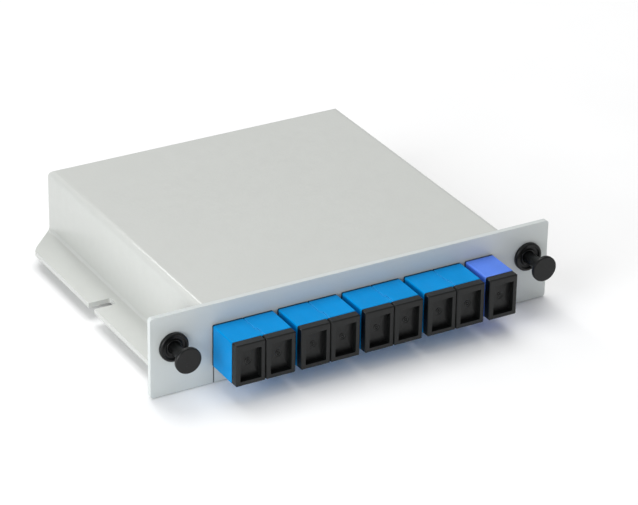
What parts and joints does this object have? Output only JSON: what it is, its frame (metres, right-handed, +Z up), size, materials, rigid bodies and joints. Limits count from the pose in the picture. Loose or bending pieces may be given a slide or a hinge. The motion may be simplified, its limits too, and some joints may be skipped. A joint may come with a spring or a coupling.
{
  "type": "plc fibre splitter",
  "caption": "Plug-in fibre splitter cassette: folded sheet-metal box with side flanges, front panel, push-pull latches and a row of capped optical adapters.",
  "frame": {"origin": "middle of the front panel's lower edge, in the plane of the panel's front face", "axes": "+X along the panel to the right as seen from the front, +Y back into the shelf, +Z up"},
  "size_m": [0.13, 0.1139, 0.025],
  "materials": {
    "cover_coat": "fine-grained light grey powder coat",
    "panel_coat": "satin light grey powder coat",
    "strip_coat": "satin light grey powder coat",
    "tray_coat": "fine-grained light grey powder coat",
    "screw_steel": "zinc-plated steel",
    "spring_steel": "bright spring steel",
    "adapter_blue": "semi-gloss moulded blue plastic",
    "adapter_violet": "semi-gloss moulded violet-blue plastic",
    "holder_plastic": "natural moulded plastic",
    "zirconia": "polished white ceramic",
    "plug_plastic": "moulded blue plastic",
    "boot_rubber": "soft white rubber",
    "case_steel": "drawn stainless steel",
    "end_plug_plastic": "black moulded plastic",
    "cradle_plastic": "white moulded plastic",
    "fibre_tube": "soft extruded tube",
    "cap_black": "moulded black plastic with a fine matt grain",
    "latch_black": "moulded black nylon"
  },
  "bodies": {
    "housing": {"front_panel": "panel_coat", "retaining_strip": "strip_coat", "cover": "cover_coat", "base_tray": "tray_coat", "cover_screws": "screw_steel", "adapter_clips": "spring_steel", "sleeve_holders": "holder_plastic", "alignment_sleeves": "zirconia", "inner_plugs": "plug_plastic", "plug_ferrules": "zirconia", "plug_boots": "boot_rubber", "splitter_case": "case_steel", "splitter_end_plugs": "end_plug_plastic", "splitter_cradle": "cradle_plastic", "output_fibres": "fibre_tube", "input_fibre": "fibre_tube", "fibre_clips": "cradle_plastic", "adapter_1": "adapter_blue", "adapter_2": "adapter_blue", "adapter_3": "adapter_blue", "adapter_4": "adapter_blue", "adapter_5": "adapter_violet", "latch_grommet_left": "latch_black", "latch_grommet_right": "latch_black"},
    "plunger_left": {"latch_plunger_left": "latch_black"},
    "plunger_right": {"latch_plunger_right": "latch_black"},
    "cap_1": {"dust_cap_1": "cap_black"},
    "cap_2": {"dust_cap_2": "cap_black"},
    "cap_3": {"dust_cap_3": "cap_black"},
    "cap_4": {"dust_cap_4": "cap_black"},
    "cap_5": {"dust_cap_5": "cap_black"},
    "cap_6": {"dust_cap_6": "cap_black"},
    "cap_7": {"dust_cap_7": "cap_black"},
    "cap_8": {"dust_cap_8": "cap_black"},
    "cap_9": {"dust_cap_9": "cap_black"}
  },
  "joints": [
    {"name": "plunger_left_push", "type": "slide", "parent": "housing", "child": "plunger_left", "axis": [0, 1, 0], "range_m": [0, 0.0069]},
    {"name": "plunger_right_push", "type": "slide", "parent": "housing", "child": "plunger_right", "axis": [0, 1, 0], "range_m": [0, 0.0069]},
    {"name": "cap_1_pull", "type": "slide", "parent": "housing", "child": "cap_1", "axis": [0, -1, 0], "range_m": [0, 0.014]},
    {"name": "cap_2_pull", "type": "slide", "parent": "housing", "child": "cap_2", "axis": [0, -1, 0], "range_m": [0, 0.014]},
    {"name": "cap_3_pull", "type": "slide", "parent": "housing", "child": "cap_3", "axis": [0, -1, 0], "range_m": [0, 0.014]},
    {"name": "cap_4_pull", "type": "slide", "parent": "housing", "child": "cap_4", "axis": [0, -1, 0], "range_m": [0, 0.014]},
    {"name": "cap_5_pull", "type": "slide", "parent": "housing", "child": "cap_5", "axis": [0, -1, 0], "range_m": [0, 0.014]},
    {"name": "cap_6_pull", "type": "slide", "parent": "housing", "child": "cap_6", "axis": [0, -1, 0], "range_m": [0, 0.014]},
    {"name": "cap_7_pull", "type": "slide", "parent": "housing", "child": "cap_7", "axis": [0, -1, 0], "range_m": [0, 0.014]},
    {"name": "cap_8_pull", "type": "slide", "parent": "housing", "child": "cap_8", "axis": [0, -1, 0], "range_m": [0, 0.014]},
    {"name": "cap_9_pull", "type": "slide", "parent": "housing", "child": "cap_9", "axis": [0, -1, 0], "range_m": [0, 0.014]}
  ]
}
